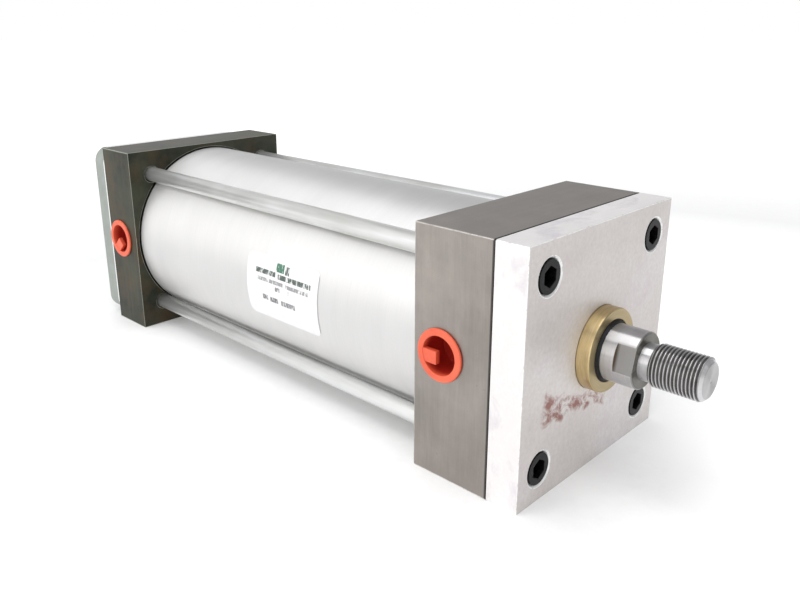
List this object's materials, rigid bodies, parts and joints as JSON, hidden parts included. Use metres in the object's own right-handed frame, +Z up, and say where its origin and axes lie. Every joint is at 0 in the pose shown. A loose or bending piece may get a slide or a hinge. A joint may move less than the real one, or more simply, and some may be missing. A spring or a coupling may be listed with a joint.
{
  "type": "pneumatic cylinder",
  "caption": "Tie-rod pneumatic cylinder with square end blocks, a round aluminium barrel, a threaded piston rod at one end and a pivot eye at the other.",
  "frame": {"origin": "on the rod's axis at the front face of the retainer plate, where the bushing's pilot starts", "axes": "+X out along the piston rod, -Y the way both ports open, +Z up"},
  "size_m": [0.4435, 0.1156, 0.1142],
  "materials": {
    "plate_aluminium": "machined, fine mottling",
    "head_steel": "ground, vertical grain",
    "cap_steel": "dark ground steel",
    "tube_aluminium": "clear anodised, fine grain",
    "cast_aluminium": "as cast, satin",
    "zinc_rod": "bright zinc plate",
    "zinc_nut": "bright zinc plate",
    "black_oxide": "black oxide",
    "bronze": "turned bronze",
    "seal_rubber": "matt nitrile",
    "rod_chrome": "hard chrome, polished",
    "piston_aluminium": "turned",
    "band_plastic": "filled polymer",
    "plug_plastic": "moulded, slightly glossy",
    "label_vinyl": "white sticker"
  },
  "bodies": {
    "barrel": {"retainer_plate": "plate_aluminium", "head_block": "head_steel", "barrel_tube": "tube_aluminium", "cap_block": "cap_steel", "rear_eye_mount": "cast_aluminium", "tie_rod_1": "zinc_rod", "tie_rod_2": "zinc_rod", "tie_rod_3": "zinc_rod", "tie_rod_4": "zinc_rod", "front_tie_rod_nuts": "black_oxide", "rear_tie_rod_nuts": "zinc_nut", "rod_bushing": "bronze", "rod_wiper": "seal_rubber", "rod_seal": "seal_rubber", "bushing_o_ring": "seal_rubber", "head_tube_seal": "seal_rubber", "cap_tube_seal": "seal_rubber", "label": "label_vinyl"},
    "piston_packing": {"piston_seal_front": "seal_rubber", "piston_seal_rear": "seal_rubber", "piston_wear_band": "band_plastic"},
    "rod": {"piston_rod": "rod_chrome", "piston": "piston_aluminium", "piston_o_ring": "seal_rubber", "piston_nut": "zinc_nut"},
    "front_plug": {"front_port_plug": "plug_plastic"},
    "rear_plug": {"rear_port_plug": "plug_plastic"}
  },
  "joints": [
    {"name": "rod_slide", "type": "slide", "parent": "barrel", "child": "piston_packing", "axis": [1, 0, 0], "range_m": [0, 0.2032]},
    {"name": "rod_spin", "type": "hinge", "parent": "piston_packing", "child": "rod", "pos_m": [0, 0, 0], "axis": [1, 0, 0], "continuous": true},
    {"name": "front_plug_pull", "type": "slide", "parent": "barrel", "child": "front_plug", "axis": [0, -1, 0], "range_m": [0, 0.03]},
    {"name": "rear_plug_pull", "type": "slide", "parent": "barrel", "child": "rear_plug", "axis": [0, -1, 0], "range_m": [0, 0.03]}
  ]
}
